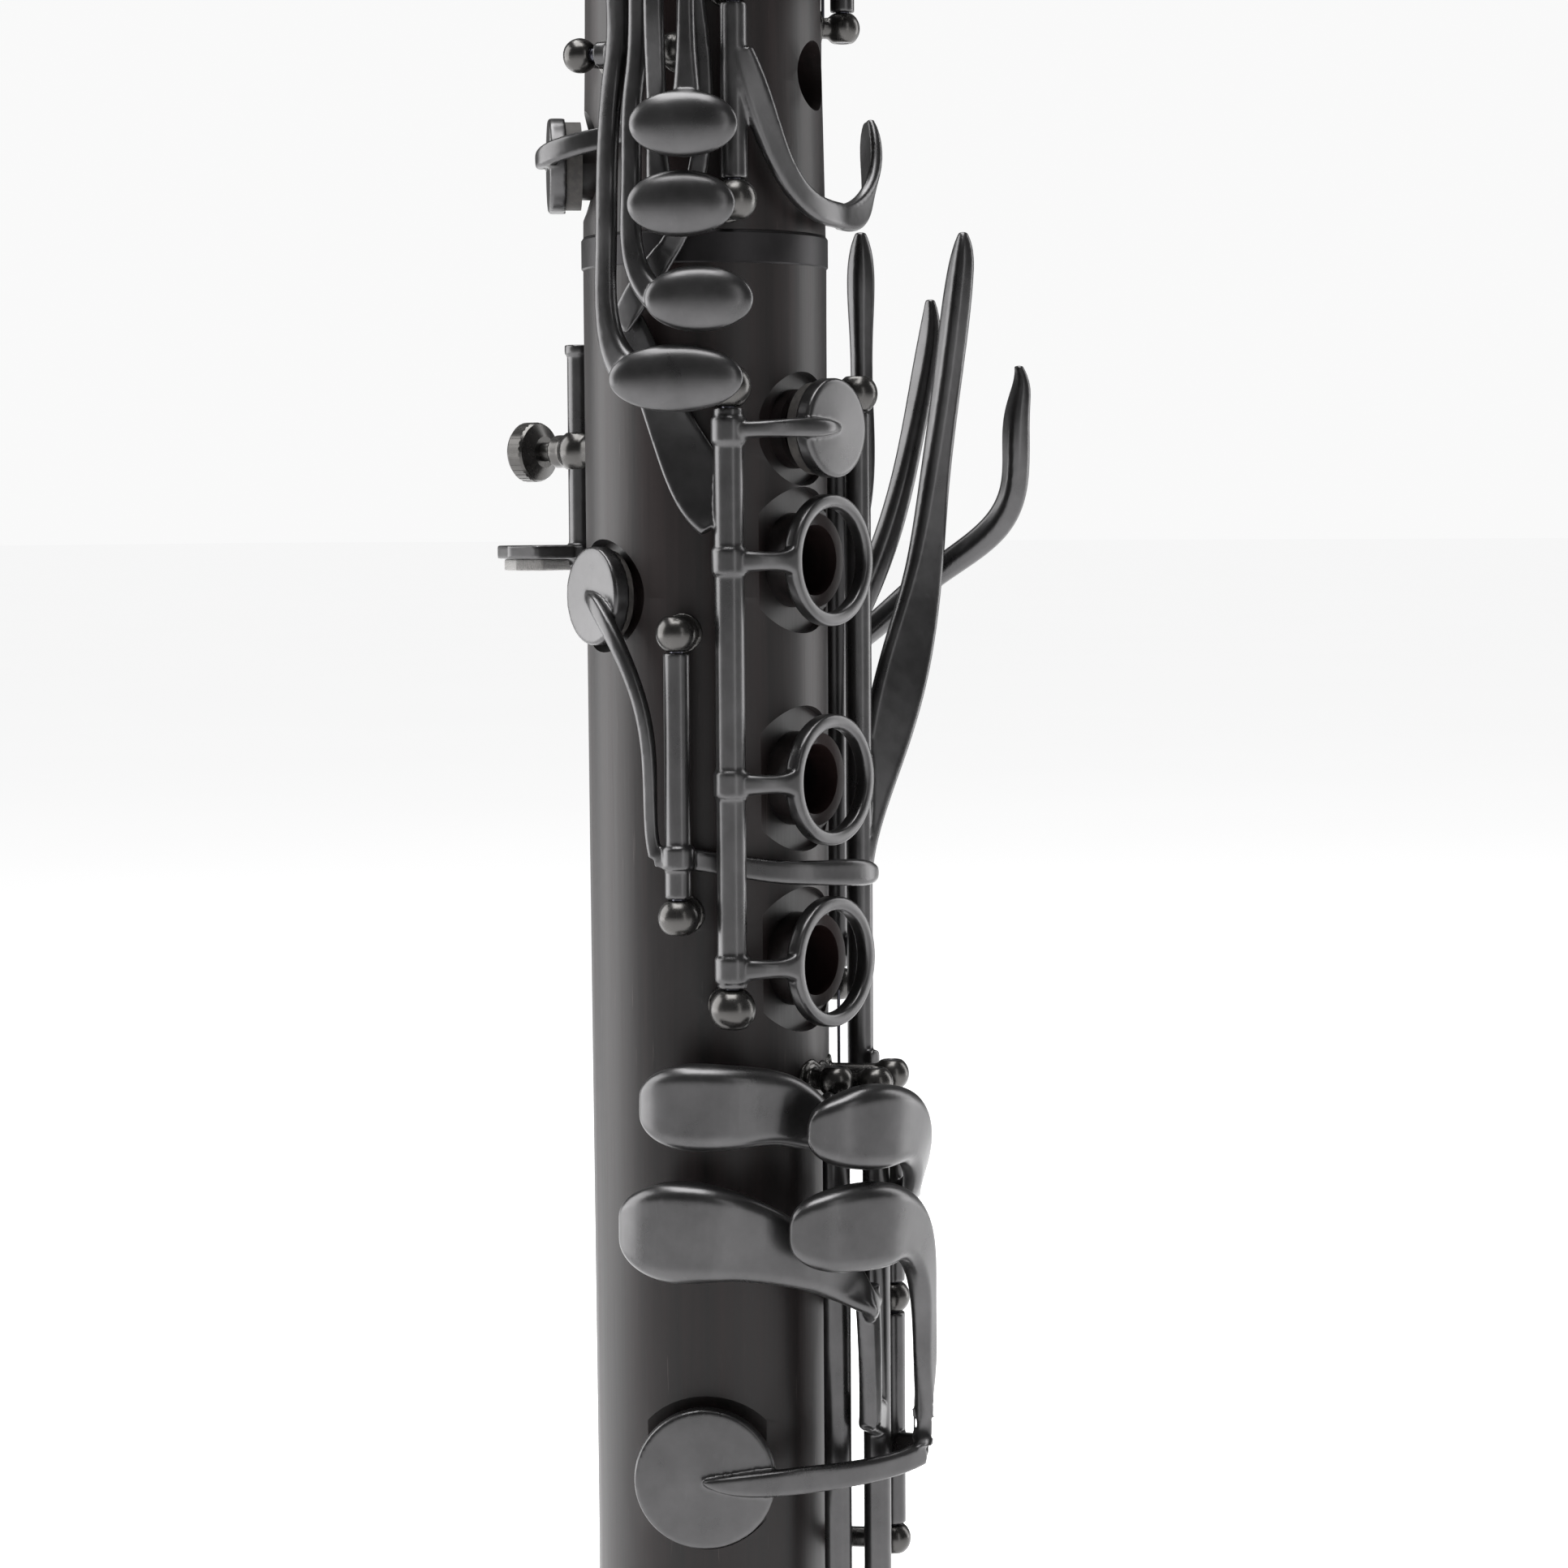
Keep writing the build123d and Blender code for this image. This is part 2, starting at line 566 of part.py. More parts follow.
def f_sharp_key():
    """Lower right touch, its long stem and the large cup it closes."""
    return key("f_sharp", [
        limb([(32.5, 27.6, 224.9, 0.9, 0.6), (31, 28.0, 224.9, 3.0, 1.2), (26, 28.5, 224.9, 4.5, 1.8),
              (18, 28.9, 225.0, 5.2, 2.1), (9, 29.0, 224.9, 5.2, 2.2), (1, 28.7, 224.2, 4.5, 2.0),
              (-6, 28.6, 222.2, 3.5, 1.7), (-11.5, 28.5, 217.8, 2.4, 1.5), (-14, 28.4, 211.5, 1.8, 1.3),
              (-15.2, 28.2, 203.5, 1.4, 1.2), (-15.5, 28.0, 195.5, 1.3, 1.2)]),
        limb([(-16.5, 27.8, 195.2, 1.5, 0.8), (-22, 25.6, 194.4, 1.6, 0.9), (-28.5, 23.2, 193.8, 1.6, 1.1)]),
        limb([(-16.5, 27.8, 194.4, 1.5, 0.7), (-6, 25.4, 193.6, 1.5, 0.75), (10, 22.4, 193.2, 1.6, 0.8),
              (28, 20.5, 193.0, 1.65, 0.8), (44, 19.4, 192.8, 1.3, 0.7), (56, 18.6, 193.0, 0.3, 0.25)]),
        pad_cup(55.6, 18.3, 193.2, 8.6),
    ])


def a_flat_key():
    """Upper right touch; the cup it opens is on the far side of the hinge."""
    return key("a_flat", [
        limb([(26.5, 26.7, 236.7, 0.9, 0.6), (25, 27.2, 236.7, 2.8, 1.3), (20, 27.9, 236.7, 4.2, 1.9),
              (13, 28.4, 236.8, 5.0, 2.2), (5, 28.6, 236.6, 5.0, 2.2), (-2, 28.5, 235.9, 4.4, 2.0),
              (-8.5, 28.2, 233.8, 3.4, 1.7), (-14, 27.4, 230.4, 2.4, 1.3), (-20, 26.0, 227.6, 1.9, 1.2),
              (-28, 23.7, 226.0, 1.8, 1.1)]),
        pad_cup(-76, 17.2, 212.0, 7.4),
        limb([(-30, 23.1, 218.0, 1.7, 1.2), (-46, 21.4, 216.2, 1.6, 1.0), (-62, 19.0, 213.6, 1.5, 0.9),
              (-77, 17.4, 212.0, 0.4, 0.3)]),
    ])


def lever(name, touch):
    """Little-finger lever of the left hand: a tube with a blade to its touch and a foot at its low end."""
    angle, radius, low, _, _, _ = HINGES[name]
    foot = limb([(angle, radius, low + 5, 1.5, 1.2), (angle + 6, radius + 1.4, low + 5, 1.4, 0.9)])
    return key(name, [limb(touch), foot])


LEVER_TOUCHES = {
    "lever_e": [
        (-55, 20.4, 266.0, 1.2, 1.2), (-56, 21.2, 272.0, 1.2, 2.0), (-60, 24.4, 282.0, 1.2, 3.2),
        (-64, 28.2, 292.0, 1.2, 3.4), (-66.5, 31.4, 302.0, 1.3, 2.6), (-66.5, 33.2, 314.0, 1.6, 1.9),
        (-65, 34.8, 328.0, 1.9, 1.6), (-63.5, 36.0, 340.0, 1.8, 1.5), (-63, 36.3, 344.0, 1.2, 1.1),
        (-63, 36.3, 345.8, 0.5, 0.5),
    ],
    "lever_f": [
        (-74, 20.4, 300.0, 1.4, 1.2), (-72, 22.6, 308.0, 1.6, 1.3), (-70.5, 23.4, 320.0, 1.6, 1.5),
        (-70.5, 23.4, 336.0, 1.6, 1.5), (-70.5, 23.4, 343.0, 1.4, 1.3), (-70.5, 23.4, 345.6, 0.6, 0.6),
    ],
    "lever_f_sharp": [
        (-93, 20.0, 280.0, 1.4, 1.2), (-87, 22.8, 288.0, 1.5, 1.4), (-80, 26.2, 298.0, 1.4, 1.7),
        (-76, 30.6, 310.0, 1.4, 1.6), (-74.4, 34.0, 324.0, 1.6, 1.3), (-73.9, 35.7, 333.0, 1.5, 1.1),
        (-73.9, 35.8, 337.6, 0.6, 0.5),
    ],
    "lever_a_flat": [
        (-112, 20.0, 280.0, 1.4, 1.2), (-104, 24.0, 286.0, 1.6, 1.3), (-92, 28.5, 292.0, 1.6, 1.5),
        (-80, 33.0, 298.0, 1.6, 1.6), (-71.8, 36.8, 303.0, 1.7, 1.6), (-62.3, 42.0, 310.0, 1.8, 1.6),
        (-59.5, 42.6, 317.0, 1.9, 1.5), (-59, 42.8, 324.0, 1.8, 1.2), (-59, 42.8, 328.8, 0.6, 0.5),
    ],
}


def thumb_rest_plate():
    """Carrier rod with the plate that lies on the right thumb."""
    rod = upright(THUMB_REST_ANGLE, THUMB_ROD_AT, PLATE_Z - 1, 331.0, THUMB_ROD_R)
    cap = upright(THUMB_REST_ANGLE, THUMB_ROD_AT, 330.4, 331.6, THUMB_ROD_R + 0.3)
    outline = make_face(Polyline(
        (-3.0, 19.0), (-6.8, 22.0), (-7.0, 26.5), (-5.2, 30.0), (-2.0, 31.2), (2.0, 31.2), (5.2, 30.0),
        (7.0, 26.5), (6.8, 22.0), (3.0, 19.0), close=True,
    ))
    plate = Location((0, 0, PLATE_Z)) * extrude(outline, amount=PLATE_T)
    return fused([rod, cap, plate])


def thumb_rest_cork():
    outline = make_face(Polyline(
        (-5.0, 22.5), (-6.2, 26.0), (-4.6, 29.4), (-1.8, 30.4), (1.8, 30.4), (4.6, 29.4), (6.2, 26.0),
        (5.0, 22.5), close=True,
    ))
    return Location((0, 0, PLATE_Z - 1.5)) * extrude(outline, amount=1.5)


def thumb_rest_sleeve():
    """Ball that grips the carrier rod and the foot that is screwed to the wood."""
    ball = Pos(at(THUMB_REST_ANGLE, THUMB_ROD_AT, SLEEVE_Z)) * Sphere(2.95)
    stem = outward(THUMB_REST_ANGLE, SLEEVE_Z, outside(SLEEVE_Z) - POST_DEPTH, THUMB_ROD_AT, SEAT_R)
    neck = outward(THUMB_REST_ANGLE, SLEEVE_Z, THUMB_ROD_AT, THUMB_ROD_AT + 3.9, 2.1)
    whole = fused([ball, stem, neck])
    whole = whole - upright(THUMB_REST_ANGLE, THUMB_ROD_AT, SLEEVE_Z - 5, SLEEVE_Z + 5, THUMB_ROD_R + 0.05)
    return whole - outward(THUMB_REST_ANGLE, SLEEVE_Z, THUMB_ROD_AT, THUMB_ROD_AT + 6, CLAMP_R + 0.05)


def thumb_rest_screw():
    """Clamp screw with a knurled head."""
    tip = THUMB_ROD_AT + THUMB_ROD_R + 0.1
    shank = outward(THUMB_REST_ANGLE, SLEEVE_Z, tip, 27.0, CLAMP_R)
    head = facing(THUMB_REST_ANGLE, 26.2, SLEEVE_Z).location * revolve(
        make_face(Polyline(
            (0, 0, 0), (2.0, 0, 0), (3.6, 0, 0.9), (3.8, 0, 1.3), (3.8, 0, 3.0), (3.4, 0, 3.5), (0, 0, 3.8), close=True
        )), axis=Axis.Z,
    )
    grooves = [
        facing(THUMB_REST_ANGLE, 26.0, SLEEVE_Z).location * (Rot(0, 0, turn) * Pos(3.95, 0, 2.2) * Box(0.4, 0.35, 2.4))
        for turn in range(0, 360, 12)
    ]
    for groove in grooves:
        head = head - groove
    return shank + head


# ---------------------------------------------------------------- keys of the upper joint
def upper_rings():
    pieces = []
    for z in UPPER_RING_Z:
        pieces += ring_on_arm("upper_rings", UPPER_LINE + 0.6, UPPER_RING_TOP, z)
    pieces += [
        pad_cup(0, 19.6, 428.5, 5.6),
        limb([(44, 19.6, 428.0, 1.3, 1.2), (22, 20.6, 428.3, 1.15, 0.9), (9, 20.4, 428.5, 1.0, 0.8),
              (0, 19.7, 428.5, 0.2, 0.2)]),
        limb([(45, 19.9, 384.6, 1.3, 0.9), (50, 19.8, 384.2, 1.2, 0.7), (55, 19.5, 382.6, 1.0, 0.65)]),
        limb([(54.5, 19.5, 383.6, 1.0, 0.65), (56, 19.3, 375.0, 1.0, 0.65), (53, 19.0, 367.0, 1.0, 0.6),
              (52, 18.9, 356.0, 1.1, 0.6), (57, 18.6, 347.0, 1.2, 0.55), (69, 18.2, 340.0, 1.5, 0.5)]),
        limb([(66, 18.3, 341.2, 1.4, 0.5), (78, 18.0, 336.2, 1.8, 0.5), (87, 17.8, 332.5, 1.5, 0.4)]),
    ]
    return key("upper_rings", pieces)


def c_sharp_key():
    """Touch on the left, tube on the right front and cup at the right back."""
    return key("c_sharp", [
        limb([(39, 19.6, 364.5, 1.5, 1.0), (34, 19.7, 359.5, 1.9, 1.0), (25, 19.0, 352.8, 1.7, 0.85),
              (11, 18.0, 347.9, 1.6, 0.8), (-8, 17.7, 346.2, 1.6, 0.8), (-22, 17.7, 346.0, 1.6, 0.8)]),
        limb([(-16, 17.7, 346.0, 1.6, 0.8), (-32, 18.4, 346.5, 1.9, 0.8), (-45, 20.2, 348.6, 2.3, 0.8),
              (-53, 21.6, 352.2, 2.6, 0.8), (-57, 22.0, 356.0, 2.4, 0.7), (-58.5, 22.0, 359.0, 1.0, 0.4)]),
        limb([(42, 18.4, 357.5, 1.4, 0.9), (49, 16.7, 357.3, 1.4, 0.7), (58, 16.1, 357.0, 1.4, 0.55),
              (80, 16.0, 356.2, 1.4, 0.55), (100, 16.5, 355.0, 1.4, 0.6)]),
        limb([(96, 16.3, 355.2, 1.4, 0.6), (110, 18.6, 354.4, 1.4, 0.7), (124, 20.4, 353.4, 1.3, 0.7),
              (137, 19.6, 352.7, 0.3, 0.25)]),
        pad_cup(137, 19.4, 352.7, 5.8),
    ])


def upper_sliver():
    return key("upper_sliver", [
        limb([(-52, 18.0, 384.0, 1.4, 1.0), (-66, 17.7, 383.0, 1.2, 0.8), (-80, 17.2, 382.0, 1.1, 0.7),
              (-93, 16.8, 381.5, 0.3, 0.25)]),
        pad_cup(-92, 16.6, 381.5, 5.4),
        limb([(-52, 18.2, 376.5, 1.4, 1.0), (-38, 18.9, 375.8, 1.5, 0.8), (-24, 19.4, 375.4, 1.7, 0.8),
              (-12, 19.2, 375.2, 1.4, 0.7), (-5, 18.8, 375.2, 0.4, 0.3)]),
    ])


def thumb_ring():
    angle, radius, *_ = HINGES["thumb_ring"]
    pieces = ring_on_arm("thumb_ring", 180, THUMB_RING_TOP, THUMB_Z)
    pieces += [
        pad_cup(180, 19.0, 428.0, 5.2),
        limb([(146, 18.9, 428.0, 1.3, 1.2), (160, 20.0, 428.0, 1.2, 0.9), (171, 19.9, 428.0, 1.1, 0.8),
              (180, 19.1, 428.0, 0.2, 0.2)]),
    ]
    return key("thumb_ring", pieces)


SIDE_KEYS = {
    # hinge, extent of its tube, oval touch, bar stations, cup (angle, top, z, radius)
    "side_a": (
        "side_low", (-5.3, -0.5), (60, 24.6, 325.9, 8.0, 4.0, 2.0),
        [(68, 24.0, 325.9, 2.6, 1.5), (77, 23.3, 328.0, 2.0, 1.3), (82.5, 22.6, 333.0, 1.4, 1.1),
         (83.5, 22.2, 341.0, 1.25, 1.1), (83.5, 21.7, 352.0, 1.25, 1.1), (84, 19.9, 362.0, 1.25, 1.2),
         (84, 19.0, 366.0, 1.3, 1.2), (85, 18.9, 374.0, 1.3, 0.9), (88, 17.9, 381.0, 1.0, 0.7),
         (92, 17.1, 385.5, 0.4, 0.3)],
        (92, 17.0, 385.5, 5.0),
    ),
    "side_b": (
        "side_low", (-0.3, 2.7), (53.5, 25.0, 335.1, 6.4, 3.9, 2.0),
        [(58, 24.8, 334.8, 2.4, 1.4), (65, 24.0, 335.4, 1.9, 1.3), (72, 23.2, 339.0, 1.4, 1.1),
         (74.5, 22.4, 347.0, 1.2, 1.1), (75, 21.6, 355.0, 1.2, 1.1), (75, 19.9, 363.0, 1.2, 1.2),
         (74, 19.9, 372.0, 1.2, 1.0), (73, 20.2, 385.0, 1.2, 0.9), (75, 18.6, 406.0, 1.1, 0.9),
         (78, 17.6, 425.0, 1.0, 0.7), (80, 16.8, 430.5, 0.4, 0.3)],
        (80, 16.6, 430.5, 5.0),
    ),
    "side_c": (
        "side_high", (-4.4, -0.3), (58, 25.4, 346.1, 6.4, 3.9, 2.0),
        [(62, 24.4, 345.8, 2.2, 1.2), (65, 23.2, 349.6, 1.5, 1.0), (66, 22.3, 357.0, 1.2, 0.9),
         (66, 23.1, 365.0, 1.2, 0.95), (66, 22.6, 385.0, 1.2, 1.05), (66, 22.2, 415.0, 1.2, 1.05), (67, 20.6, 438.0, 1.2, 1.1),
         (67, 19.7, 446.0, 1.2, 1.1), (68, 18.9, 456.0, 1.2, 0.9), (73, 17.7, 467.0, 1.1, 0.8),
         (77, 16.9, 474.0, 0.9, 0.6), (79, 16.3, 478.0, 0.4, 0.3)],
        (79, 16.2, 478.0, 4.8),
    ),
    "side_d": (
        "side_high", (0.3, 4.4), (57, 26.4, 355.2, 6.4, 3.9, 2.0),
        [(56.5, 25.4, 357.5, 1.8, 1.1), (56.5, 24.4, 362.0, 1.3, 1.05), (56.5, 22.8, 380.0, 1.2, 1.05),
         (56.5, 22.2, 415.0, 1.2, 1.05), (56, 20.6, 438.0, 1.2, 1.1), (55, 19.7, 446.0, 1.2, 1.1),
         (55, 18.7, 460.0, 1.2, 0.9), (55, 18.3, 480.0, 1.1, 0.8), (54, 17.2, 490.0, 0.9, 0.6),
         (52, 16.4, 496.0, 0.4, 0.3)],
        (52, 16.3, 496.0, 4.8),
    ),
}


def side_key(name):
    hinge, (s0, s1), touch, stations, cup = SIDE_KEYS[name]
    return cross_key(hinge, s0, s1, [pebble(*touch), limb(stations), pad_cup(*cup)])


def throat_a_key():
    return cross_key("throat", -5.3, -0.4, [
        limb([(-9, 17.0, 438.5, 0.8, 0.4), (-8.5, 18.0, 441.0, 2.2, 0.7), (-7.5, 18.6, 446.0, 2.6, 0.8),
              (-5.5, 18.8, 454.0, 1.8, 1.1), (-3, 18.6, 464.0, 1.2, 0.9), (-1, 18.0, 472.0, 1.1, 0.8),
              (0, 17.0, 478.5, 0.3, 0.25)]),
        pad_cup(0, 16.9, 478.5, 4.8),
    ])


def throat_g_sharp_key():
    return cross_key("throat", 0.4, 5.3, [
        limb([(-24, 17.6, 436.0, 0.8, 0.4), (-24, 18.6, 439.0, 1.8, 0.7), (-23.5, 19.0, 446.0, 1.5, 0.9),
              (-23, 19.0, 454.0, 1.5, 1.1), (-28, 18.6, 460.0, 1.2, 0.9), (-36, 17.6, 465.0, 1.1, 0.7),
              (-42, 16.9, 468.0, 0.3, 0.25)]),
        pad_cup(-42, 16.8, 468.0, 4.8),
    ])


def register_key():
    return cross_key("register", -3.0, 3.0, [
        limb([(180, 21.4, 417.0, 0.8, 0.4), (180, 22.2, 420.0, 2.6, 0.8), (180, 22.6, 428.0, 2.6, 0.9),
              (180, 21.4, 438.0, 2.0, 1.0), (180, 19.2, 446.0, 1.8, 1.2), (180, 18.8, 460.0, 1.4, 1.0),
              (180, 18.6, 480.0, 1.3, 0.9), (180, 18.4, 494.0, 1.2, 0.8), (180, 18.2, 500.0, 0.4, 0.3)]),
        pad_cup(180, 18.2, 499.0, 3.6),
    ])


# ---------------------------------------------------------------- tone holes
def raised(angle, z, hole_r, rim_r, rim_top):
    return Hole(angle, z, hole_r, rim_r, rim_top, SPOT_R, SPOT_FLOOR)


def seat(angle, z, hole_r, pad_top, cup_r, drop, floor, proud=PAD_PROUD):
    """Tone hole under a pad cup; its rim ends just below the pad when the key has fallen by drop."""
    rim_top = pad_top - CUP_H - proud - drop - SEAT_GAP
    return Hole(angle, z, hole_r, hole_r + 0.9, rim_top, cup_r + 0.9, floor)


LOWER_HOLES = [raised(0, z, 4.3, 5.75, CHIMNEY_TOP) for z in LOWER_RING_Z] + [
    seat(0, 320.3, 3.9, 20.4, 6.0, 1.5, 13.4, RING_PAD_PROUD),
    seat(110, 300.2, 3.2, 17.0, 6.0, 0, 12.7),
    seat(35, 157.0, 6.2, 19.0, 8.75, 1.3, 12.9, LOW_PAD_PROUD),
    seat(20, 126.0, 6.6, 19.4, 9.0, 1.3, 13.0, LOW_PAD_PROUD),
    seat(55.6, 193.2, 6.0, 18.3, 8.6, 1.2, 12.7),
    seat(-76, 212.0, 5.0, 17.2, 7.4, 0, 12.6),
]
UPPER_HOLES = [
    Hole(UPPER_LINE - 4, 363.1, 4.2),
    raised(UPPER_LINE, UPPER_RING_Z[1], 3.9, 5.6, UPPER_CHIMNEY_TOP),
    raised(UPPER_LINE, UPPER_RING_Z[0], 3.7, 5.6, UPPER_CHIMNEY_TOP),
    seat(0, 428.5, 3.2, 19.6, 5.6, 1.6, 12.6, RING_PAD_PROUD),
    seat(137, 352.7, 3.2, 19.4, 5.8, 0, 13.2, 1.9),
    seat(-92, 381.5, 2.7, 16.6, 5.4, 0, 12.4),
    seat(92, 385.5, 2.7, 17.0, 5.0, 0, 12.4),
    seat(80, 430.5, 2.6, 16.6, 5.0, 0, 12.2),
    seat(79, 478.0, 2.4, 16.2, 4.8, 0, 12.2),
    seat(52, 496.0, 2.4, 16.3, 4.8, 0, 12.2),
    seat(0, 478.5, 2.4, 16.9, 4.8, 0, 12.2),
    seat(-42, 468.0, 2.4, 16.8, 4.8, 0, 12.2),
    seat(180, 428.0, 3.0, 19.0, 5.2, 1.3, 12.2, RING_PAD_PROUD),
    Hole(180, THUMB_Z, BUSH_R),
    Hole(180, 499.0, BUSH_R / 2 + 0.4),
]


def tone_hole_tubes():
    """Metal bush of the thumb hole and the register tube, both of which reach into the air column."""
    thumb = outward(180, THUMB_Z, BORE_R + 0.2, 16.4, BUSH_R) - outward(180, THUMB_Z, 5, 18, 3.0)
    vent = outward(180, 499.0, BORE_R - 2.0, VENT_TOP, BUSH_R / 2 + 0.4) - outward(180, 499.0, 4, 18, 1.2)
    return [thumb, vent]


# ---------------------------------------------------------------- writing the parts
LOWER_LINES = ["lower_rings", "lower_sliver", "f_c", "e_b", "f_sharp", "a_flat",
               "lever_e", "lever_f", "lever_f_sharp", "lever_a_flat"]
UPPER_LINES = ["c_sharp", "upper_rings", "upper_sliver", "thumb_ring"]
UPPER_CROSS = ["side_low", "side_high", "throat", "register"]

write("bell", bell())
write("bell_rings", bell_rings())

lower_places = post_places([], LOWER_LINES) + [(THUMB_REST_ANGLE, THUMB_ROD_AT, SLEEVE_Z, 0)]
write("lower_joint", lower_joint(LOWER_HOLES, lower_places))
write("lower_top_ring", lower_top_ring())
write("lower_joint_cork", tenon_cork("bell", Z_LOWER, True))
write("lower_posts", posts(LOWER_LINES, []) + [thumb_rest_sleeve()])
write("lower_rods_and_springs", hinge_rods(LOWER_LINES, []) + springs(LOWER_LINES))
write("thumb_rest_plate", thumb_rest_plate())
write("thumb_rest_cork", thumb_rest_cork())
write("thumb_rest_screw", thumb_rest_screw())

write("lower_rings_key", lower_rings())
write("lower_rings_pad", pad(0, 20.4, 320.3, 6.0, RING_PAD_PROUD))
write("lower_sliver_key", lower_sliver())
write("lower_sliver_pad", pad(110, 17.0, 300.2, 6.0))
write("f_c_key", f_c_key())
write("f_c_pad", pad(35, 19.0, 157.0, 8.75, LOW_PAD_PROUD))
write("e_b_key", e_b_key())
write("e_b_pad", pad(20, 19.4, 126.0, 9.0, LOW_PAD_PROUD))
write("f_sharp_c_sharp_key", f_sharp_key())
write("f_sharp_c_sharp_pad", pad(55.6, 18.3, 193.2, 8.6))
write("a_flat_e_flat_key", a_flat_key())
write("a_flat_e_flat_pad", pad(-76, 17.2, 212.0, 7.4))
for lever_name, stations in LEVER_TOUCHES.items():
    write(f"left_hand_{lever_name}", lever(lever_name, stations))

write("upper_joint", upper_joint(UPPER_HOLES, post_places(UPPER_CROSS, UPPER_LINES)))
write("upper_joint_corks", [tenon_cork("middle", Z_UPPER, True), tenon_cork("barrel", Z_BARREL, False)])
write("upper_posts", posts(UPPER_LINES, UPPER_CROSS))
write("upper_rods_and_springs", hinge_rods(UPPER_LINES, UPPER_CROSS) + springs(UPPER_LINES))
write("tone_hole_tubes", tone_hole_tubes())

write("upper_rings_key", upper_rings())
write("upper_rings_pad", pad(0, 19.6, 428.5, 5.6, RING_PAD_PROUD))
write("c_sharp_g_sharp_key", c_sharp_key())
write("c_sharp_g_sharp_pad", pad(137, 19.4, 352.7, 5.8, 1.9))
write("upper_sliver_key", upper_sliver())
write("upper_sliver_pad", pad(-92, 16.6, 381.5, 5.4))
write("thumb_ring_key", thumb_ring())
write("thumb_ring_pad", pad(180, 19.0, 428.0, 5.2, RING_PAD_PROUD))
for side_name, (_, _, _, _, side_cup) in SIDE_KEYS.items():
    write(f"{side_name}_key", side_key(side_name))
    write(f"{side_name}_pad", pad(*side_cup))
write("throat_a_key", throat_a_key())
write("throat_g_sharp_key", throat_g_sharp_key())
write("throat_a_pad", pad(0, 16.9, 478.5, 4.8))
write("throat_g_sharp_pad", pad(-42, 16.8, 468.0, 4.8))
write("register_key", register_key())
write("register_pad", pad(180, 18.2, 499.0, 3.6))

write("barrel", barrel())
write("barrel_rings", barrel_rings())
write("mouthpiece", mouthpiece())
write("mouthpiece_cork", tenon_cork("mouth", Z_MOUTH, True))
write("reed", reed())
write("ligature", ligature())
write("ligature_screw", ligature_screw())
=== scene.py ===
import json
import math

import bpy
import bmesh
from mathutils import Matrix, Vector


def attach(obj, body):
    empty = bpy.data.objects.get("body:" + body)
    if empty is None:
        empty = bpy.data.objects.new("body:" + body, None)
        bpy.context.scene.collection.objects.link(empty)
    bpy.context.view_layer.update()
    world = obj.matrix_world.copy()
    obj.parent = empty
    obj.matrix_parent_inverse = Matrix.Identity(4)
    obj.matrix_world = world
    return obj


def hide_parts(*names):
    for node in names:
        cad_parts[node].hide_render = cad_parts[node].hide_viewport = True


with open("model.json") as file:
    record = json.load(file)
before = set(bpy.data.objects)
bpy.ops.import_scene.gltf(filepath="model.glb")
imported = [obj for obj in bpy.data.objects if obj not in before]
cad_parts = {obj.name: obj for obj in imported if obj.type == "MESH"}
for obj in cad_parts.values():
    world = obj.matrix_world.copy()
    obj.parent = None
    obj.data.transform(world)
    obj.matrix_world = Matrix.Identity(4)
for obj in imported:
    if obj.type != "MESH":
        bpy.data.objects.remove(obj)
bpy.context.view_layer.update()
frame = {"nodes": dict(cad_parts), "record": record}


# ------------------------------------------------------------ materials
class Nodes:
    """Short way of wiring one material."""

    def __init__(self, name):
        self.material = bpy.data.materials.new(name)
        self.material.use_nodes = True
        self.tree = self.material.node_tree
        self.shader = self.tree.nodes["Principled BSDF"]
        self.coord = self.tree.nodes.new("ShaderNodeTexCoord").outputs["Object"]

    def link(self, a, b):
        self.tree.links.new(a, b)

    def noise(self, scale, detail=4.0, rough=0.55, distortion=0.0):
        """Noise with a scale in repeats per metre, one number or three."""
        mapping = self.tree.nodes.new("ShaderNodeMapping")
        scale = scale if isinstance(scale, tuple) else (scale, scale, scale)
        mapping.inputs["Scale"].default_value = scale
        self.link(self.coord, mapping.inputs["Vector"])
        node = self.tree.nodes.new("ShaderNodeTexNoise")
        node.inputs["Scale"].default_value = 1.0
        node.inputs["Detail"].default_value = detail
        node.inputs["Roughness"].default_value = rough
        node.inputs["Distortion"].default_value = distortion
        self.link(mapping.outputs["Vector"], node.inputs["Vector"])
        return node.outputs["Fac"]

    def remap(self, value, a, b, low, high):
        node = self.tree.nodes.new("ShaderNodeMapRange")
        node.inputs["From Min"].default_value = a
        node.inputs["From Max"].default_value = b
        node.inputs["To Min"].default_value = low
        node.inputs["To Max"].default_value = high
        self.link(value, node.inputs["Value"])
        return node.outputs["Result"]

    def mix(self, factor, a, b):
        node = self.tree.nodes.new("ShaderNodeMix")
        node.data_type = "RGBA"
        if isinstance(factor, float):
            node.inputs["Factor"].default_value = factor
        else:
            self.link(factor, node.inputs["Factor"])
        for value, key in ((a, 6), (b, 7)):
            if isinstance(value, tuple):
                node.inputs[key].default_value = (*value, 1)
            else:
                self.link(value, node.inputs[key])
        return node.outputs[2]

    def math(self, operation, a, b):
        node = self.tree.nodes.new("ShaderNodeMath")
        node.operation = operation
        for i, value in enumerate((a, b)):
            if isinstance(value, (int, float)):
                node.inputs[i].default_value = value
            else:
                self.link(value, node.inputs[i])
        return node.outputs[0]

    def bump(self, height, strength, distance):
        node = self.tree.nodes.new("ShaderNodeBump")
        node.inputs["Strength"].default_value = strength
        node.inputs["Distance"].default_value = distance
        self.link(height, node.inputs["Height"])
        self.link(node.outputs["Normal"], self.shader.inputs["Normal"])

    def set(self, **values):
        for key, value in values.items():
            socket = self.shader.inputs[key.replace("_", " ")]
            if hasattr(value, "links"):
                self.link(value, socket)
            else:
                socket.default_value = value


